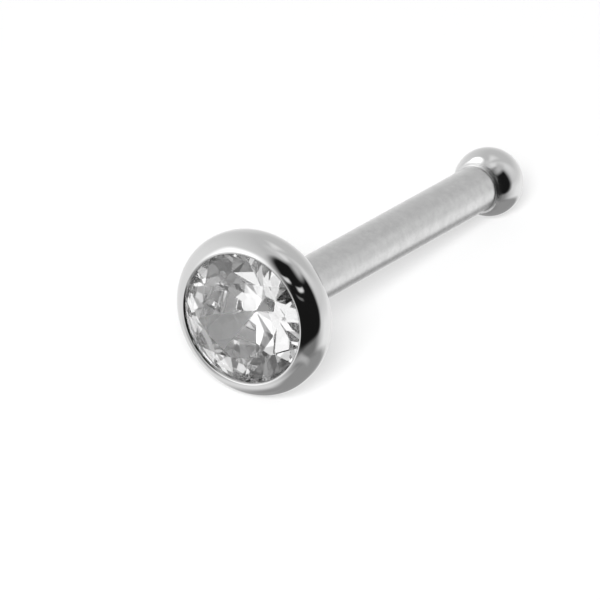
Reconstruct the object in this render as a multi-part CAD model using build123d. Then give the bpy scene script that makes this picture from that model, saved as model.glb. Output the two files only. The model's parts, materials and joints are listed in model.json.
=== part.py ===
"""A straight nose stud with a ball end: a round brilliant-cut stone rubbed into a domed metal cup, on a wire
post that ends in a small retaining ball. It lies on its side, on the cup's widest part and on the ball.

Millimetres. The stud is first built upright about its own axis: the cup's lip is at height 0, the stone looks
down -Z, and the post runs up +Z to the ball. It is then laid down along +Y on the floor plane, with the
origin on that plane under the middle of its bounding box.
"""

from build123d import *

import os
from math import asin, atan2, cos, degrees, hypot, radians, sin, sqrt, tan

# ---- driving dimensions ----
POST_DIAMETER = 0.80  # 20 gauge wire
POST_CLEAR_LENGTH = 5.93  # along the axis, from the end of the cup's cone to the ball's flat
BALL_DIAMETER = 1.19
BALL_SHOULDER = 0.39  # from the ball's middle to the flat that it is turned to where the post enters

CUP_DIAMETER = 2.80
LIP_OPENING = 2.19  # what the rubbed-over lip leaves open over the stone
FRONT_ROUND = 0.34  # radius of the cup's rounded front edge
BELT_HEIGHT = 0.05  # straight band at the cup's widest part
BACK_ROUND = 0.50  # radius of the cup's rounded back
BACK_ROUND_ANGLE = 50.0  # how far that round turns before it runs out in a cone
LIP_EDGE_RADIUS = 0.04
WELD_FILLET = 0.09  # where the cup meets the post
BALL_FILLET = 0.03  # where the post meets the ball
SHOULDER_ROUND = 0.03  # between the ball's flat and its round
SEAM_TURN = 4.7  # turns the start of the setting's round faces off the line that it lies on, in degrees

STONE_DIAMETER = 2.50
GIRDLE_DEPTH = 0.20  # from the lip's front to the stone's widest line
GIRDLE_HEIGHT = 0.05
TABLE_SHARE = 0.545  # of the stone's diameter, across the table's corners
CROWN_ANGLE = 26.0
STAR_SHARE = 0.30  # how far a star facet reaches from the table's edge towards the girdle
PAVILION_ANGLE = 40.2
LOWER_HALF_SHARE = 0.55  # how far a lower half facet reaches from the girdle towards the culet
CULET_DIAMETER = 0.04
STONE_TURN = 37.3  # the stone's facets about the stud's axis, in degrees
SIDES = 8  # a round brilliant's symmetry

SEAT_GAP = 0.02  # between the stone and its seat, all round
BORE_DIAMETER = 1.24  # pilot hole under the stone
BORE_DEPTH = 1.02
DRILL_POINT_ANGLE = 118.0

# ---- worked out from them ----
post_r = POST_DIAMETER / 2
ball_r = BALL_DIAMETER / 2
cup_r = CUP_DIAMETER / 2
opening_r = LIP_OPENING / 2
stone_r = STONE_DIAMETER / 2
bore_r = BORE_DIAMETER / 2

back_centre = (cup_r - BACK_ROUND, FRONT_ROUND + BELT_HEIGHT)
cone_start = (
    back_centre[0] + BACK_ROUND * cos(radians(BACK_ROUND_ANGLE)),
    back_centre[1] + BACK_ROUND * sin(radians(BACK_ROUND_ANGLE)),
)
cup_end = cone_start[1] + (cone_start[0] - post_r) / tan(radians(BACK_ROUND_ANGLE))
ball_face = cup_end + POST_CLEAR_LENGTH
ball_centre = ball_face + BALL_SHOULDER
shoulder_r = sqrt(ball_r**2 - BALL_SHOULDER**2)

half_step = radians(180 / SIDES)  # from a main facet's middle to its neighbour's edge
quarter_step = half_step / 2
table_r = TABLE_SHARE * stone_r
table_height = (stone_r - table_r) * tan(radians(CROWN_ANGLE))  # above the girdle's upper line
star_tip_r = table_r * cos(half_step) + STAR_SHARE * (stone_r - table_r * cos(half_step))
star_tip_height = (stone_r - star_tip_r * cos(half_step)) * tan(radians(CROWN_ANGLE))
half_tip_r = (1 - LOWER_HALF_SHARE) * stone_r
half_tip_depth = (stone_r - half_tip_r * cos(half_step)) * tan(radians(PAVILION_ANGLE))
# the steepest rise and fall of the stone from its girdle, along the edges between its half facets
crown_ridge_slope = star_tip_height / (stone_r - star_tip_r)
pavilion_ridge_slope = half_tip_depth / (stone_r - half_tip_r)


def on_arc(centre, radius, angle):
    """The point of an arc in the section: angle 0 looks outwards and 90 along +Z."""
    return (centre[0] + radius * cos(radians(angle)), centre[1] + radius * sin(radians(angle)))


def section_line(start, end):
    """A straight stretch of the section, between two (radius, height) points."""
    return Line((start[0], 0, start[1]), (end[0], 0, end[1]))


def section_arc(start, middle, end):
    """A round stretch of the section, through three (radius, height) points."""
    return ThreePointArc(*[(radius, 0, height) for radius, height in (start, middle, end)])


def make_setting():
    """Cup, post and ball as one piece of metal, turned about the stud's axis."""
    front_centre = (cup_r - FRONT_ROUND, FRONT_ROUND)
    lip_angle = -degrees(atan2(sqrt(FRONT_ROUND**2 - (opening_r - front_centre[0]) ** 2), opening_r - front_centre[0]))
    lip_front = on_arc(front_centre, FRONT_ROUND, lip_angle)
    belt_front = (cup_r, FRONT_ROUND)
    belt_back = (cup_r, back_centre[1])
    post_start = (post_r, cup_end)
    post_end = (post_r, ball_face)
    shoulder = (shoulder_r, ball_face)
    ball_top = (0, ball_centre + ball_r)

    groove_r = stone_r + SEAT_GAP
    crown_gap = SEAT_GAP * hypot(1, crown_ridge_slope)
    pavilion_gap = SEAT_GAP * hypot(1, pavilion_ridge_slope)
    girdle_bottom = GIRDLE_DEPTH + GIRDLE_HEIGHT
    drill_point = (0, BORE_DEPTH + bore_r / tan(radians(DRILL_POINT_ANGLE / 2)))
    bore_bottom = (bore_r, BORE_DEPTH)
    bore_mouth = (bore_r, girdle_bottom + pavilion_gap + (stone_r - bore_r) * pavilion_ridge_slope)
    seat_edge = (groove_r, girdle_bottom + pavilion_gap - SEAT_GAP * pavilion_ridge_slope)
    groove_top = (groove_r, GIRDLE_DEPTH - crown_gap + SEAT_GAP * crown_ridge_slope)
    lip_under = (opening_r, GIRDLE_DEPTH - crown_gap - (stone_r - opening_r) * crown_ridge_slope)

    outline = [
        section_arc(lip_front, on_arc(front_centre, FRONT_ROUND, lip_angle / 2), belt_front),
        section_line(belt_front, belt_back),
        section_arc(belt_back, on_arc(back_centre, BACK_ROUND, BACK_ROUND_ANGLE / 2), cone_start),
        section_line(cone_start, post_start),
        section_line(post_start, post_end),
        section_line(post_end, shoulder),
        section_arc(shoulder, (ball_r, ball_centre), ball_top),
        section_line(ball_top, drill_point),
        section_line(drill_point, bore_bottom),
        section_line(bore_bottom, bore_mouth),
        section_line(bore_mouth, seat_edge),
        section_line(seat_edge, groove_top),
        section_line(groove_top, lip_under),
        section_line(lip_under, lip_front),
    ]
    section = make_face(outline)
    rounds = (
        (post_start, WELD_FILLET),
        (post_end, BALL_FILLET),
        (shoulder, SHOULDER_ROUND),
        (lip_front, LIP_EDGE_RADIUS),
    )
    for corner, radius in rounds:
        place = Vector(corner[0], 0, corner[1])
        section = fillet(section.vertices().sort_by_distance(place)[0], radius)
    return revolve(section, Axis.Z)


def facet_plane(turn, reach, height, slope):
    """A facet's plane, facing out of the stone: it passes (reach, height) on the side that turn points to,
    and its height changes by -slope for each unit outwards. turn is in radians."""
    outwards = 1 if slope > 0 else -1
    normal = Vector(abs(slope) * cos(turn), abs(slope) * sin(turn), outwards)
    return Plane(origin=(reach * cos(turn), reach * sin(turn), height), z_dir=normal)


def make_stone():
    """A round brilliant of 57 facets and a culet, its girdle's upper line at height 0 and its table up."""
    crown_slope = tan(radians(CROWN_ANGLE))
    star_slope = (table_height - star_tip_height) / (star_tip_r - table_r * cos(half_step))
    upper_half_slope = star_tip_height / ((stone_r - star_tip_r) * cos(quarter_step))
    pavilion_slope = tan(radians(PAVILION_ANGLE))
    lower_half_slope = half_tip_depth / ((stone_r - half_tip_r) * cos(quarter_step))
    culet_height = -GIRDLE_HEIGHT - (stone_r - CULET_DIAMETER / 2) * pavilion_slope

    planes = [
        Plane(origin=(0, 0, table_height), z_dir=(0, 0, 1)),
        Plane(origin=(0, 0, culet_height), z_dir=(0, 0, -1)),
    ]
    for side in range(SIDES):
        turn = side * 2 * half_step
        planes.append(facet_plane(turn, stone_r, 0, crown_slope))
        planes.append(facet_plane(turn + half_step, table_r * cos(half_step), table_height, star_slope))
        planes.append(facet_plane(turn, stone_r, -GIRDLE_HEIGHT, -pavilion_slope))
        for half in (turn + quarter_step, turn - quarter_step):
            edge_r = stone_r * cos(quarter_step)
            planes.append(facet_plane(half, edge_r, 0, upper_half_slope))
            planes.append(facet_plane(half, edge_r, -GIRDLE_HEIGHT, -lower_half_slope))

    stone = Cylinder(stone_r, 4 * stone_r)
    for plane in planes:
        stone = split(stone, bisect_by=plane, keep=Keep.BOTTOM)
    return stone


# ---- build upright, then lay down ----
setting = make_setting()
stone = Pos(0, 0, GIRDLE_DEPTH) * Rot(180, 0, STONE_TURN) * make_stone()

# The floor touches the cup's rounded back and the ball, which are level when the axis dips by this much.
axis_drop = back_centre[0]
axis_run = ball_centre - back_centre[1]
dip = degrees(atan2(axis_drop, axis_run) - asin((ball_r - BACK_ROUND) / hypot(axis_drop, axis_run)))
lay_down = Rot(-90 - dip, 0, 0)
setting = lay_down * Rot(0, 0, SEAM_TURN) * setting
stone = lay_down * stone

front = min(setting.bounding_box().min.Y, stone.bounding_box().min.Y)
back = setting.bounding_box().max.Y
floor_to_axis_start = ball_centre * sin(radians(dip)) + ball_r
place = Pos(0, -(front + back) / 2, floor_to_axis_start)

os.makedirs("parts", exist_ok=True)
export_step(place * setting, "parts/cup_and_post.step")
export_step(place * stone, "parts/stone.step")
print(f"axis dips {dip:.3f} degrees, lip's middle at Y {place.position.Y:.4f}, Z {place.position.Z:.4f}")
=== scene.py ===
"""Looks for a nose stud: a round brilliant cubic zirconia in a polished steel cup, on a satin wire post that
ends in a ball. It lies on a white table in a soft white tent. Blender units are metres. Sizes here are in mm,
and places round the stud are azimuth (0 is +Y, and more goes round to -X) and elevation, in degrees."""

import json
from math import atan2, cos, degrees, pi, radians, sin, sqrt, tan

import bpy
from mathutils import Matrix, Vector


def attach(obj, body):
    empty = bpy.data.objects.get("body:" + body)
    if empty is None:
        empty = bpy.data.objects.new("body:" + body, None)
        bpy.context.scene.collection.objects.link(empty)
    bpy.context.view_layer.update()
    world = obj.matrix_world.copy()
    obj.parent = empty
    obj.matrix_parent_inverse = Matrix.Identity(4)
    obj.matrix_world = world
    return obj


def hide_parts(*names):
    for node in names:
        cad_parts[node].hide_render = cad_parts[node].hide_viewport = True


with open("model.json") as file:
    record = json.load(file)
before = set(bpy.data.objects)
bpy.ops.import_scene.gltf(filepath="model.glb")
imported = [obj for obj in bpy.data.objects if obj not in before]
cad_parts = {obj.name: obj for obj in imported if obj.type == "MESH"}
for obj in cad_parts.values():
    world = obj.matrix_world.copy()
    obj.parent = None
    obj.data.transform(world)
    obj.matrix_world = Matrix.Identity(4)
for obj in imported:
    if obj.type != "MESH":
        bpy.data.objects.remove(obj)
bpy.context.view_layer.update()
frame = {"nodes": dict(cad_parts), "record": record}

MM = 0.001

# ---- the setting's section: radius from the stud's axis, height from the lip towards the ball ----
POST_DIAMETER = 0.80
POST_CLEAR_LENGTH = 5.93
BALL_DIAMETER = 1.19
CUP_DIAMETER = 2.80
LIP_OPENING = 2.19
FRONT_ROUND = 0.34
BELT_HEIGHT = 0.05
BACK_ROUND = 0.50
BACK_ROUND_ANGLE = 50.0
WELD_FILLET = 0.09
BALL_FILLET = 0.03
BALL_SHOULDER = 0.39  # from the ball's middle to its flat, where the post enters
SHOULDER_ROUND = 0.03
LIP_EDGE_RADIUS = 0.04
LIP_UNDERSIDE = 0.091
SEAT_DIAMETER = 2.54
SEAT_TOP = 0.188
SEAT_BOTTOM = 0.259
BORE_DIAMETER = 1.24
BORE_MOUTH = 0.842
BORE_DEPTH = 1.02
DRILL_POINT = 1.393
STONE_DIAMETER = 2.50

AROUND = 192  # segments round the stud
ARC_STEP = 5.0  # degrees of an arc for each ring
CONE_RINGS = 6
POST_RINGS = 12
WELD_DISTANCE = 1e-5  # points of the mesh that are nearer than this become one
SMOOTH_ANGLE = 35.0  # edges that turn by less than this are shaded round

# ---- the studio ----
CAMERA_AZIMUTH = 32.546  # of the way it looks, from +Y round to -X
CAMERA_ELEVATION = 28.09
CAMERA_DISTANCE = 124.14
VIEW_WIDTH = 9.737  # across the picture at the lip
VIEW_RIGHT_OF_LIP = 0.956  # the picture's middle from the lip's middle
VIEW_ABOVE_LIP = 0.314
SENSOR_WIDTH = 36.0
CAMERA_NEAR = 0.005  # metres
CAMERA_FAR = 10.0

FLOOR_SIZE = 2.0  # metres
FLOOR_WHITENESS = 0.45  # share of pure white in the table as the camera sees it
SKY_STRENGTH = 0.45  # of the tent's light on the table
KEY_LIGHT = 33.0  # brightness of the lamp that lights the table
BALL_LIGHT = 1.25  # brightness of the lamp that shows in the ball
LAMP_EDGE = 0.5  # from the middle of a lamp, as a share of its width, where its light has faded out
LAMP_FULL = 0.22  # and where it is still full

# What the polished steel and the stone see round them: a white tent, lighter towards the window, the white
# table with the stud's shade on it, and a dark room beyond the tent's open front.
# Each patch is azimuth, elevation, half width, half height, slant, softness, brightness.
TENT_BRIGHTNESS = 0.70
WINDOW_SIDE = 110.0  # azimuth that the tent's light comes from
WINDOW_RISE = -20.0  # and its elevation
WINDOW_GAIN = 0.33
ALL_ROUND = 400.0
SURROUNDINGS = {
    "tent_crown": (0, 90, ALL_ROUND, 12, 0, 0.5, 0.80),
    "table_glow_on_tent": (-5, -2, 50, 14, 0, 0.9, 0.85),
    "tent_seam": (-42, 38, 12, 27, 0, 0.8, 0.94),
    "tent_top_light": (8, 66, 16, 12, 0, 0.8, 0.98),
    "tent_top_edge": (-72, 76, 34, 9, 0, 0.7, 0.98),
    "table": (0, -60, ALL_ROUND, 57, 0, 0.1, 0.93),
    "table_towards_window": (108, -28, 58, 30, 0, 0.4, 1.0),
    "table_beside_stud": (-26, -25, 25, 12, 0, 0.5, 1.1),
    "window": (146, 9, 15, 14, 0, 0.7, 1.75),
    "shade_under_stud": (0, -90, ALL_ROUND, 27, 0, 0.4, 0.38),
    "shade_behind_stud": (34, -72, 50, 22, -6, 0.45, 0.42),
    "shade_beside_stud": (-75, -72, 113, 33.5, 0, 0.13, 0.38),
    "shade_before_stud": (126, -35, 17, 9, 10, 0.6, 0.42),
    "shade_before_camera": (-134, -31, 54, 13, 0, 0.5, 0.24),
    "sheen_before_camera": (-148, -38, 36, 3.5, -18, 0.8, 0.6),
    "room_behind_camera": (-128, 24, 61, 45, 0, 0.16, 0.012),
    "room_on_table": (-136, -7, 60, 17, 4, 0.22, 0.012),
    "panel_in_room": (-76, 56, 32, 10, 0, 0.8, 0.65),
    "lamp_over_camera": (-134, 29.5, 15, 2.4, 14, 0.6, 0.95),
    "lamp_left_of_camera": (-175, 20, 10, 2.5, 35, 0.6, 0.95),
    "glint_in_room": (-152, 15, 12, 1.4, 14, 0.6, 0.22),
}
# Light that has gone through the stone comes from the side that it faces, azimuth 180. These patches lie over
# the others for that light alone.
THROUGH_STONE = {
    "table_before_stone": (-160, -35, 40, 25, 0, 0.2, 1.0),
    "tent_before_stone": (150, 45, 40, 20, 0, 0.2, 1.2),
    "wall_in_room": (165, 15, 20, 15, 0, 0.3, 0.3),
}


# ---- small helpers ----
def linear(hex_colour):
    """A colour written as sRGB hex, such as "d8d8d8", as linear RGBA."""
    parts = [int(hex_colour[i : i + 2], 16) / 255 for i in (0, 2, 4)]
    return (*[c / 12.92 if c <= 0.04045 else ((c + 0.055) / 1.055) ** 2.4 for c in parts], 1.0)


def add_node(tree, kind, settings=None, links=None):
    """A node of that kind. settings sets its properties and input values, links its linked inputs."""
    node = tree.nodes.new(kind)
    for name, value in (settings or {}).items():
        if isinstance(name, str) and name in node.bl_rna.properties:
            setattr(node, name, value)
        else:
            node.inputs[name].default_value = value
    for name, source in (links or {}).items():
        tree.links.new(source, node.inputs[name])
    return node


def maths(tree, operation, first, second=None, third=None):
    """A Math node's output. Each value is a number or another node's output."""
    node = add_node(tree, "ShaderNodeMath", {"operation": operation})
    for place, value in enumerate((first, second, third)):
        if isinstance(value, (int, float)):
            node.inputs[place].default_value = value
        elif value is not None:
            tree.links.new(value, node.inputs[place])
    return node.outputs[0]


def soft_step(tree, value, low, high):
    """0 where value is at low and 1 where it is at high, smooth between. high may be the smaller one."""
    ends = {"From Min": min(low, high), "From Max": max(low, high), "To Min": 0.0, "To Max": 1.0}
    if low > high:
        ends.update({"To Min": 1.0, "To Max": 0.0})
    return add_node(
        tree, "ShaderNodeMapRange", {"interpolation_type": "SMOOTHSTEP", **ends}, {"Value": value}
    ).outputs[0]


def new_material(name):
    """An empty material and its node tree."""
    material = bpy.data.materials.new(name)
    material.use_nodes = True
    material.node_tree.nodes.clear()
    return material, material.node_tree


def dress(obj, *materials):
    """Gives a piece its finishes, the first one for all faces that aren't marked for another."""
    if obj.data.materials:
        obj.data.materials.clear()
    for material in materials:
        obj.data.materials.append(material)


def towards(azimuth, elevation):
    """The unit vector from the stud to a place round it."""
    a, e = radians(azimuth), radians(elevation)
    return Vector((-sin(a) * cos(e), cos(a) * cos(e), sin(e)))


# ---- where the stud lies ----
post_mount = next(mount for mount in frame["record"]["mounts"] if mount["name"] == "post")
axis = Vector(post_mount["axis"]).normalized()

back_centre = (CUP_DIAMETER / 2 - BACK_ROUND, FRONT_ROUND + BELT_HEIGHT)
back_turn = radians(BACK_ROUND_ANGLE)
cone_start = (back_centre[0] + BACK_ROUND * cos(back_turn), back_centre[1] + BACK_ROUND * sin(back_turn))
cup_end = cone_start[1] + (cone_start[0] - POST_DIAMETER / 2) / tan(back_turn)
ball_face = cup_end + POST_CLEAR_LENGTH
ball_centre = ball_face + BALL_SHOULDER
lip_middle = Vector(post_mount["pos_m"]) - axis * MM * (cup_end + ball_face) / 2
ball_middle = lip_middle + axis * MM * ball_centre

upright_to_lying = (
    Matrix.Translation(lip_middle)
    @ Vector((0, 0, 1)).rotation_difference(axis).to_matrix().to_4x4()
    @ Matrix.Scale(MM, 4)
)


# ---- the setting ----
def arc(centre, radius, start, end):
    """Rings along an arc of the section, between two angles in degrees: 0 looks outwards, 90 to the ball."""
    steps = max(2, round(abs(end - start) / ARC_STEP))
    angles = [radians(start + (end - start) * i / steps) for i in range(steps + 1)]
    return [(centre[0] + radius * cos(a), centre[1] + radius * sin(a)) for a in angles]


def between(start, end, count):
    """Rings between two points of the section, without its ends."""
    shares = [i / (count + 1) for i in range(1, count + 1)]
    return [(start[0] + (end[0] - start[0]) * s, start[1] + (end[1] - start[1]) * s) for s in shares]


def setting_section():
    """The section of cup, post and ball, from the bore's bottom, over the lip, to the ball's tip."""
    post_r, ball_r, opening_r = POST_DIAMETER / 2, BALL_DIAMETER / 2, LIP_OPENING / 2
    front_centre = (CUP_DIAMETER / 2 - FRONT_ROUND, FRONT_ROUND)
    lip_edge_out = opening_r + LIP_EDGE_RADIUS - front_centre[0]
    lip_edge_down = sqrt((FRONT_ROUND - LIP_EDGE_RADIUS) ** 2 - lip_edge_out**2)
    lip_edge_centre = (front_centre[0] + lip_edge_out, front_centre[1] - lip_edge_down)
    lip_turn = -degrees(atan2(lip_edge_down, lip_edge_out))

    weld_centre = (post_r + WELD_FILLET, cup_end + WELD_FILLET * (1 - cos(back_turn)) / sin(back_turn))
    weld_on_cone = (
        weld_centre[0] - WELD_FILLET * cos(back_turn),
        weld_centre[1] - WELD_FILLET * sin(back_turn),
    )
    neck_centre = (post_r + BALL_FILLET, ball_face - BALL_FILLET)
    shoulder_height = ball_face + SHOULDER_ROUND
    shoulder_down = ball_centre - shoulder_height
    shoulder_centre = (sqrt((ball_r - SHOULDER_ROUND) ** 2 - shoulder_down**2), shoulder_height)
    shoulder_turn = -degrees(atan2(shoulder_down, shoulder_centre[0]))

    return (
        [
            (BORE_DIAMETER / 2, BORE_DEPTH),
            (BORE_DIAMETER / 2, BORE_MOUTH),
            (SEAT_DIAMETER / 2, SEAT_BOTTOM),
            (SEAT_DIAMETER / 2, SEAT_TOP),
            (opening_r, LIP_UNDERSIDE),
        ]
        + arc(lip_edge_centre, LIP_EDGE_RADIUS, -180, lip_turn)
        + arc(front_centre, FRONT_ROUND, lip_turn, 0)[1:]
        + arc(back_centre, BACK_ROUND, 0, BACK_ROUND_ANGLE)
        + between(cone_start, weld_on_cone, CONE_RINGS)
        + arc(weld_centre, WELD_FILLET, 180 + BACK_ROUND_ANGLE, 180)
        + between((post_r, weld_centre[1]), (post_r, neck_centre[1]), POST_RINGS)
        + arc(neck_centre, BALL_FILLET, 180, 90)
        + arc(shoulder_centre, SHOULDER_ROUND, -90, shoulder_turn)
        + arc((0, ball_centre), ball_r, shoulder_turn, 90 - ARC_STEP / 2)[1:]
    )


def make_setting():
    """Cup, post and ball, drawn ring by ring from the bore to the tip of the ball, and then laid down."""
    section = setting_section()
    radius, height = section[0]
    bpy.ops.object.select_all(action="DESELECT")
    bpy.ops.mesh.primitive_cone_add(
        vertices=AROUND,
        radius1=radius,
        radius2=0,
        depth=DRILL_POINT - height,
        location=(0, 0, (DRILL_POINT + height) / 2),
        end_fill_type="NOTHING",
    )
    obj = bpy.context.active_object
    bpy.ops.object.transform_apply(location=True)
    bpy.ops.object.mode_set(mode="EDIT")
    bpy.ops.mesh.select_mode(type="EDGE")
    bpy.ops.mesh.select_all(action="SELECT")
    bpy.ops.mesh.region_to_loop()
    for next_radius, next_height in section[1:]:
        rise = next_height - height
        bpy.ops.mesh.extrude_edges_move(TRANSFORM_OT_translate={"value": (0, 0, rise)})
        factor = next_radius / radius
        bpy.ops.transform.resize(value=(factor, factor, 1), center_override=(0, 0, next_height))
        radius, height = next_radius, next_height
    to_tip = ball_centre + BALL_DIAMETER / 2 - height
    bpy.ops.mesh.extrude_edges_move(TRANSFORM_OT_translate={"value": (0, 0, to_tip)})
    bpy.ops.mesh.merge(type="CENTER")
    bpy.ops.mesh.select_all(action="SELECT")
    bpy.ops.mesh.remove_doubles(threshold=WELD_DISTANCE)
    bpy.ops.mesh.normals_make_consistent(inside=False)
    bpy.ops.object.mode_set(mode="OBJECT")
    obj.name = obj.data.name = "setting"
    # the faces that look inwards, under the lip, are the seat and the bore
    for face in obj.data.polygons:
        outwards = Vector((face.center.x, face.center.y, 0)).normalized()
        if face.normal.dot(outwards) < -0.01 and face.center.z > LIP_UNDERSIDE:
            face.material_index = 1
    obj.data.transform(upright_to_lying)
    bpy.ops.object.shade_smooth_by_angle(angle=radians(SMOOTH_ANGLE))
    return obj


# ---- materials ----
def round_stud(tree):
    """Where each point of a surface is: mm from the lip along the stud, and mm out from its axis."""
    place = add_node(tree, "ShaderNodeTexCoord")
    from_lip = add_node(
        tree, "ShaderNodeVectorMath", {"operation": "SUBTRACT", 1: lip_middle}, {0: place.outputs["Object"]}
    )
    in_mm = add_node(
        tree, "ShaderNodeVectorMath", {"operation": "SCALE", "Scale": 1 / MM}, {0: from_lip.outputs[0]}
    ).outputs[0]
    along = add_node(tree, "ShaderNodeVectorMath", {"operation": "DOT_PRODUCT", 1: axis}, {0: in_mm})
    out = add_node(tree, "ShaderNodeVectorMath", {"operation": "CROSS_PRODUCT", 1: axis}, {0: in_mm})
    distance = add_node(tree, "ShaderNodeVectorMath", {"operation": "LENGTH"}, {0: out.outputs[0]})
    return in_mm, along.outputs["Value"], distance.outputs["Value"]


def surgical_steel():
    """316L steel, turned on a lathe. Cup and ball are buffed to a mirror that still shows soft waves from the
    wheel, and the post between them is left satin and a little blotchy from fine abrasive."""
    material, tree = new_material("polished_316L_steel")
    in_mm, along, out = round_stud(tree)
    on_post = maths(
        tree,
        "MULTIPLY",
        soft_step(tree, along, cup_end - 0.10, cup_end + 0.10),
        soft_step(tree, along, ball_face + 0.08, ball_face + 0.01),
    )

    # abrasive leaves patches about 0.15 mm across and a grain of 0.03 mm
    patches = add_node(
        tree, "ShaderNodeTexNoise", {"Scale": 1 / 0.15, "Detail": 2.0, "Roughness": 0.6}, {"Vector": in_mm}
    )
    grain = add_node(tree, "ShaderNodeTexNoise", {"Scale": 1 / 0.03, "Detail": 1.0}, {"Vector": in_mm})
    # the buffing wheel leaves waves about 0.4 mm across
    waves = add_node(tree, "ShaderNodeTexNoise", {"Scale": 1 / 0.4, "Detail": 1.0}, {"Vector": in_mm})

    satin = maths(tree, "MULTIPLY_ADD", patches.outputs["Fac"], 0.14, 0.11)
    roughness = maths(tree, "MULTIPLY_ADD", on_post, satin, 0.05)
    patch_tone = maths(tree, "SUBTRACT", patches.outputs["Fac"], 0.45)
    blotches = maths(tree, "MULTIPLY_ADD", grain.outputs["Fac"], 0.4, patch_tone)
    tone = maths(tree, "MULTIPLY", blotches, on_post)
    colour = add_node(
        tree, "ShaderNodeMix", {"data_type": "RGBA", 6: linear("d6d6d6"), 7: linear("c0c0c0")}, {0: tone}
    )

    # heights in mm
    waves_height = maths(tree, "MULTIPLY", waves.outputs["Fac"], maths(tree, "SUBTRACT", 1.0, on_post))
    patch_height = maths(tree, "MULTIPLY", patches.outputs["Fac"], on_post)
    grain_height = maths(tree, "MULTIPLY", grain.outputs["Fac"], on_post)
    surface = maths(tree, "MULTIPLY", waves_height, 0.0016)
    surface = maths(tree, "MULTIPLY_ADD", patch_height, 0.003, surface)
    surface = maths(tree, "MULTIPLY_ADD", grain_height, 0.0017, surface)
    bump = add_node(tree, "ShaderNodeBump", {"Strength": 1.0, "Distance": MM}, {"Height": surface})

    shader = add_node(
        tree,
        "ShaderNodeBsdfPrincipled",
        {"Metallic": 1.0},
        {"Base Color": colour.outputs[2], "Roughness": roughness, "Normal": bump.outputs[0]},
    )
    add_node(tree, "ShaderNodeOutputMaterial", None, {"Surface": shader.outputs[0]})
    return material


def cut_seat():
    """The same steel as the setter's bur leaves it under the stone: matt and pale, with painted shade that
    makes it a shade darker at the seat's outer edge, under the lip. It shows through the stone as soft grey."""
    material, tree = new_material("cut_steel_seat")
    in_mm, _, out = round_stud(tree)
    # painted shade: a ragged band round the seat's outer edge, under the lip, goes from fcfcfc down to f0f0f0
    shade_edge_noise = add_node(tree, "ShaderNodeTexNoise", {"Scale": 1 / 0.3, "Detail": 2.0}, {"Vector": in_mm})
    edge = maths(tree, "MULTIPLY_ADD", shade_edge_noise.outputs["Fac"], 0.2, out)
    clear_of_painted_shade = soft_step(tree, edge, STONE_DIAMETER / 2, STONE_DIAMETER / 2 - 0.25)
    colour = add_node(
        tree, "ShaderNodeMix", {"data_type": "RGBA", 6: linear("f0f0f0"), 7: linear("fcfcfc")}, {0: clear_of_painted_shade}
    )
    shader = add_node(
        tree,
        "ShaderNodeBsdfPrincipled",
        {"Metallic": 1.0, "Roughness": 0.9},
        {"Base Color": colour.outputs[2]},
    )
    add_node(tree, "ShaderNodeOutputMaterial", None, {"Surface": shader.outputs[0]})
    return material


def cubic_zirconia():
    """Colourless cubic zirconia: facets polished clear, and the girdle left frosted from rounding."""
    material, tree = new_material("clear_cubic_zirconia")
    in_mm, _, out = round_stud(tree)
    frosted = soft_step(tree, out, STONE_DIAMETER / 2 - 0.012, STONE_DIAMETER / 2 - 0.004)
    haze = add_node(tree, "ShaderNodeTexNoise", {"Scale": 1 / 0.3, "Detail": 3.0}, {"Vector": in_mm})
    polish = soft_step(tree, haze.outputs["Fac"], 0.55, 0.75)
    roughness = maths(tree, "MULTIPLY_ADD", frosted, 0.4, maths(tree, "MULTIPLY", polish, 0.012))
    shader = add_node(
        tree,
        "ShaderNodeBsdfPrincipled",
        {"Base Color": linear("fefefe"), "IOR": 2.16, "Transmission Weight": 1.0},
        {"Roughness": roughness},
    )
    add_node(tree, "ShaderNodeOutputMaterial", None, {"Surface": shader.outputs[0]})
    return material


# ---- what the polished steel and the stone reflect ----
def place_round(tree, vector):
    """The azimuth and elevation that a vector points to, in degrees."""
    direction = add_node(tree, "ShaderNodeVectorMath", {"operation": "NORMALIZE"}, {0: vector})
    part = add_node(tree, "ShaderNodeSeparateXYZ", None, {0: direction.outputs[0]})
    leftwards = maths(tree, "MULTIPLY", part.outputs["X"], -1.0)
    azimuth = maths(tree, "DEGREES", maths(tree, "ARCTAN2", leftwards, part.outputs["Y"]))
    elevation = maths(tree, "DEGREES", maths(tree, "ARCSINE", part.outputs["Z"]))
    return azimuth, elevation


def with_patch(tree, azimuth, elevation, patch, base):
    """base, with a soft-edged patch of the given brightness over it."""
    patch_azimuth, patch_elevation, half_width, half_height, slant, softness, brightness = patch
    nearest = maths(tree, "WRAP", azimuth, patch_azimuth + 180.0, patch_azimuth - 180.0)
    place = add_node(tree, "ShaderNodeCombineXYZ", None, {"X": nearest, "Y": elevation})
    local = add_node(
        tree,
        "ShaderNodeMapping",
        {
            "vector_type": "TEXTURE",
            "Location": (patch_azimuth, patch_elevation, 0),
            "Rotation": (0, 0, radians(slant)),
            "Scale": (half_width, half_height, 1),
        },
        {"Vector": place.outputs[0]},
    )
    square = add_node(
        tree, "ShaderNodeVectorMath", {"operation": "MULTIPLY"}, {0: local.outputs[0], 1: local.outputs[0]}
    )
    length = add_node(tree, "ShaderNodeVectorMath", {"operation": "LENGTH"}, {0: square.outputs[0]})
    # 1 on the outline of a rectangle with well rounded corners
    outwards = maths(tree, "SQRT", length.outputs["Value"])
    mask = soft_step(tree, outwards, 1 + softness, 1 - softness)
    mixed = add_node(tree, "ShaderNodeMix", {"data_type": "FLOAT", 3: brightness}, {0: mask})
    if isinstance(base, (int, float)):
        mixed.inputs[2].default_value = base
    else:
        tree.links.new(base, mixed.inputs[2])
    return mixed.outputs[0]


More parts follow.
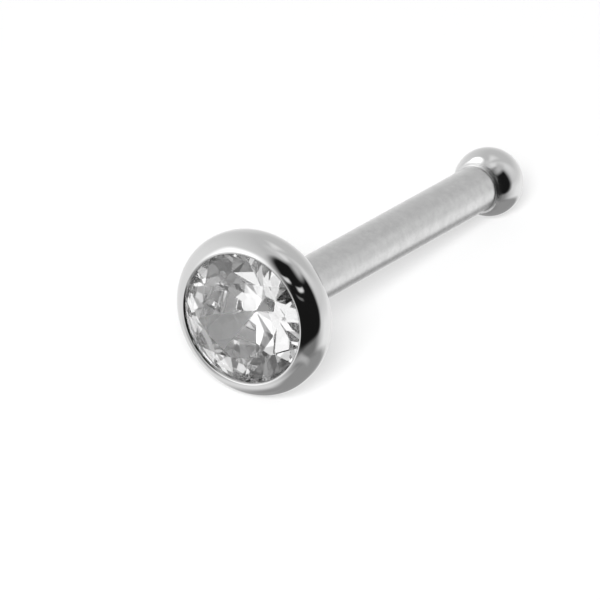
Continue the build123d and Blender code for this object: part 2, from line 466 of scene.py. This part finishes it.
def make_world():
    """White to the camera, and an even soft sky for all that it lights. Reflections see the tent and the
    room, and light that has gone through the stone sees them with the stone's own patches over them."""
    world = bpy.data.worlds.new("studio")
    bpy.context.scene.world = world
    world.use_nodes = True
    tree = world.node_tree
    tree.nodes.clear()
    path = add_node(tree, "ShaderNodeLightPath")
    reflected = maths(tree, "MAXIMUM", path.outputs["Is Glossy Ray"], path.outputs["Is Transmission Ray"])

    sky = add_node(tree, "ShaderNodeTexCoord").outputs["Generated"]
    azimuth, elevation = place_round(tree, sky)
    window_way = towards(WINDOW_SIDE, WINDOW_RISE)
    to_window = add_node(tree, "ShaderNodeVectorMath", {"operation": "DOT_PRODUCT", 1: window_way}, {0: sky})
    facing_window = maths(tree, "MAXIMUM", to_window.outputs["Value"], 0.0)
    brightness = maths(tree, "MULTIPLY_ADD", facing_window, WINDOW_GAIN, TENT_BRIGHTNESS)
    for patch in SURROUNDINGS.values():
        brightness = with_patch(tree, azimuth, elevation, patch, brightness)
    through_stone = brightness
    for patch in THROUGH_STONE.values():
        through_stone = with_patch(tree, azimuth, elevation, patch, through_stone)
    seen = add_node(
        tree,
        "ShaderNodeMix",
        {"data_type": "FLOAT"},
        {0: path.outputs["Is Transmission Ray"], 2: brightness, 3: through_stone},
    ).outputs[0]

    lit = add_node(tree, "ShaderNodeBackground", {"Color": (1, 1, 1, 1), "Strength": SKY_STRENGTH})
    mirrored = add_node(tree, "ShaderNodeBackground", {"Color": (1, 1, 1, 1)}, {"Strength": seen})
    white = add_node(tree, "ShaderNodeBackground", {"Color": (1, 1, 1, 1), "Strength": 1.0})
    off_camera = add_node(
        tree, "ShaderNodeMixShader", None, {0: reflected, 1: lit.outputs[0], 2: mirrored.outputs[0]}
    )
    whole = add_node(
        tree,
        "ShaderNodeMixShader",
        None,
        {0: path.outputs["Is Camera Ray"], 1: off_camera.outputs[0], 2: white.outputs[0]},
    )
    add_node(tree, "ShaderNodeOutputWorld", None, {"Surface": whole.outputs[0]})


def make_floor():
    """A white table top, pure white where no shadow falls. Reflections show the table that the world has."""
    bpy.ops.object.select_all(action="DESELECT")
    bpy.ops.mesh.primitive_plane_add(size=FLOOR_SIZE)
    floor = bpy.context.active_object
    floor.name = "floor"
    material, tree = new_material("white_table")
    path = add_node(tree, "ShaderNodeLightPath")
    paint = add_node(tree, "ShaderNodeBsdfDiffuse", {"Color": linear("f7f7f7")})
    white = add_node(tree, "ShaderNodeEmission", {"Color": (1, 1, 1, 1), "Strength": 1.0})
    whiteness = maths(tree, "MULTIPLY", path.outputs["Is Camera Ray"], FLOOR_WHITENESS)
    both = add_node(
        tree, "ShaderNodeMixShader", None, {0: whiteness, 1: paint.outputs[0], 2: white.outputs[0]}
    )
    add_node(tree, "ShaderNodeOutputMaterial", None, {"Surface": both.outputs[0]})
    dress(floor, material)
    floor.visible_glossy = False
    floor.visible_transmission = False


def make_lamp(name, middle, azimuth, elevation, distance, faces, width, brightness, in_steel):
    """A round lamp with a soft edge, placed round a point of the stud and turned to face a point. With
    in_steel it shows in the steel and lights nothing else. Without, it lights what is matt and isn't seen."""
    data = bpy.data.lights.new(name, "AREA")
    data.shape = "DISK"
    data.size = width * MM
    # a disk's watts for the brightness that it shows: pi for its area, and pi for the half of space it faces
    data.energy = brightness * pi * pi * (data.size / 2) ** 2
    data.use_nodes = True
    tree = data.node_tree
    tree.nodes.clear()
    # from 0 to 1 both ways across the lamp
    across = add_node(tree, "ShaderNodeNewGeometry").outputs["Parametric"]
    out = add_node(tree, "ShaderNodeVectorMath", {"operation": "DISTANCE", 1: (0.5, 0.5, 0)}, {0: across})
    strength = soft_step(tree, out.outputs["Value"], LAMP_EDGE, LAMP_FULL)
    glow = add_node(tree, "ShaderNodeEmission", None, {"Strength": strength})
    add_node(tree, "ShaderNodeOutputLight", None, {"Surface": glow.outputs[0]})

    lamp = bpy.data.objects.new(name, data)
    bpy.context.scene.collection.objects.link(lamp)
    lamp.location = middle + towards(azimuth, elevation) * distance * MM
    lamp.rotation_euler = (lamp.location - faces).to_track_quat("Z", "Y").to_euler()
    lamp.visible_diffuse = not in_steel
    lamp.visible_glossy = in_steel
    lamp.visible_transmission = False
    lamp.visible_camera = False


def make_camera():
    """A long lens before the stud and above it, some way round to +X, aimed so that all of it is in view."""
    ahead = -towards(CAMERA_AZIMUTH + 180, CAMERA_ELEVATION)
    right = Vector((cos(radians(CAMERA_AZIMUTH)), sin(radians(CAMERA_AZIMUTH)), 0))
    up = right.cross(ahead)
    aim = lip_middle + (right * VIEW_RIGHT_OF_LIP + up * VIEW_ABOVE_LIP) * MM
    data = bpy.data.cameras.new("camera")
    data.sensor_width = SENSOR_WIDTH
    data.lens = SENSOR_WIDTH * CAMERA_DISTANCE / VIEW_WIDTH
    data.clip_start = CAMERA_NEAR
    data.clip_end = CAMERA_FAR
    camera = bpy.data.objects.new("camera", data)
    bpy.context.scene.collection.objects.link(camera)
    turned = Matrix((right, up, -ahead)).transposed().to_4x4()
    camera.matrix_world = Matrix.Translation(aim - ahead * CAMERA_DISTANCE * MM) @ turned
    bpy.context.scene.camera = camera


# ---- the scene ----
scene = bpy.context.scene
scene.view_settings.view_transform = "Standard"
# unfiltered, so that light off the matt seat still comes through the stone
scene.cycles.blur_glossy = 0.0
scene.cycles.max_bounces = 32
scene.cycles.glossy_bounces = 24
scene.cycles.transmission_bounces = 32

setting = make_setting()
dress(setting, surgical_steel(), cut_seat())
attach(setting, "root")
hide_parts("cup_and_post")
dress(frame["nodes"]["stone"], cubic_zirconia())

make_world()
make_floor()
# this one is turned past the ball, so that the satin post doesn't catch it
make_lamp(
    "ball_light",
    ball_middle,
    azimuth=96,
    elevation=52,
    distance=2.2,
    faces=ball_middle + axis * 2.45 * MM,
    width=2.6,
    brightness=BALL_LIGHT,
    in_steel=True,
)
make_lamp(
    "key",
    lip_middle,
    azimuth=206,
    elevation=36,
    distance=300,
    faces=lip_middle,
    width=160,
    brightness=KEY_LIGHT,
    in_steel=False,
)
make_camera()
